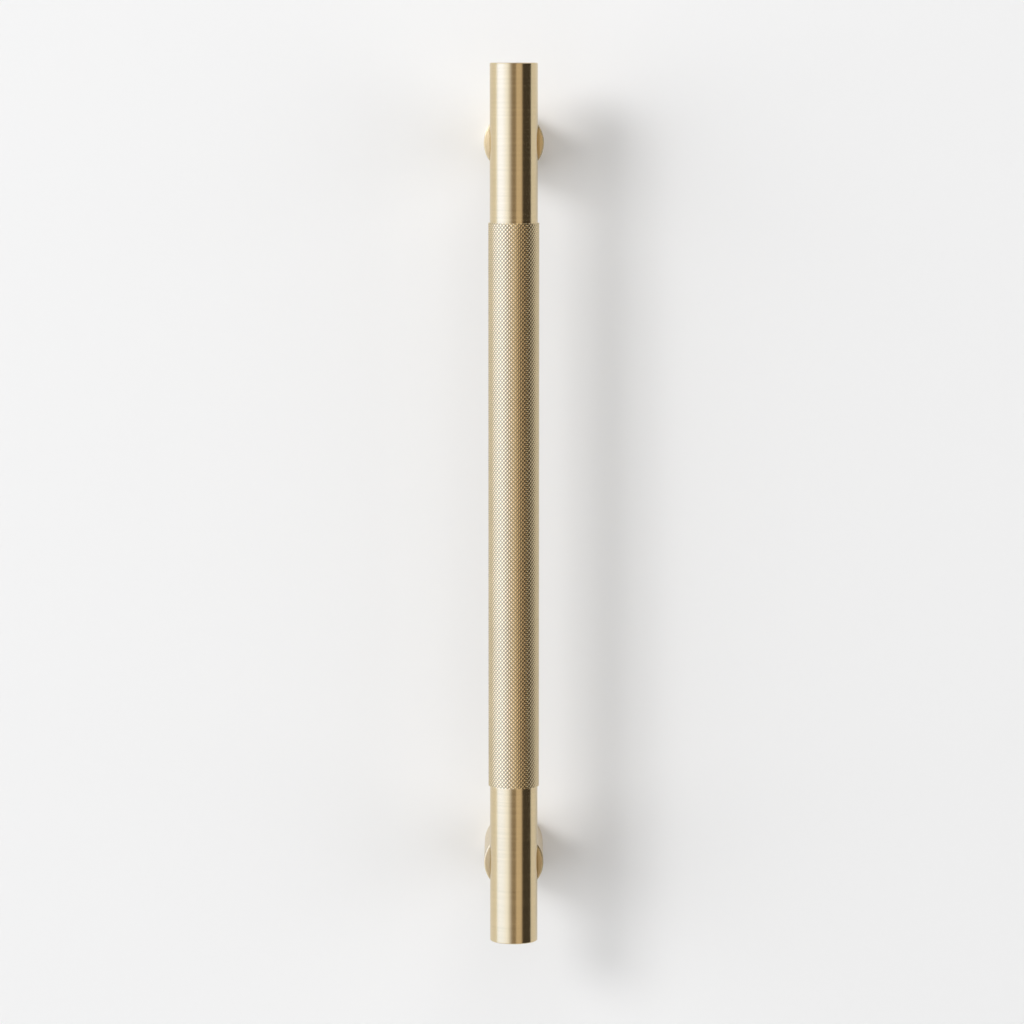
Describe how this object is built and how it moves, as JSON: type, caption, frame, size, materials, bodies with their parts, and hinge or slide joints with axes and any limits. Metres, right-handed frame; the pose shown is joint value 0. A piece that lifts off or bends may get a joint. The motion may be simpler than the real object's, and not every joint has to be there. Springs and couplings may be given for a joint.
{
  "type": "door pull",
  "caption": "Straight round bar pull in satin brass with a proud diamond-knurled grip, held off the door by saddle-topped round posts.",
  "frame": {"origin": "on the door's face, midway between the two posts", "axes": "+Z away from the door, +Y along the bar towards its upper end, +X across the bar"},
  "size_m": [0.0158, 0.234, 0.0385],
  "materials": {
    "bar_brass": "satin, diamond knurl between plain ends",
    "post_brass": "satin, turned, brushed around",
    "screw_steel": "zinc plated"
  },
  "bodies": {
    "root": {"grip_bar": "bar_brass", "upper_post": "post_brass", "lower_post": "post_brass", "upper_joining_screw": "screw_steel", "lower_joining_screw": "screw_steel"}
  },
  "joints": []
}
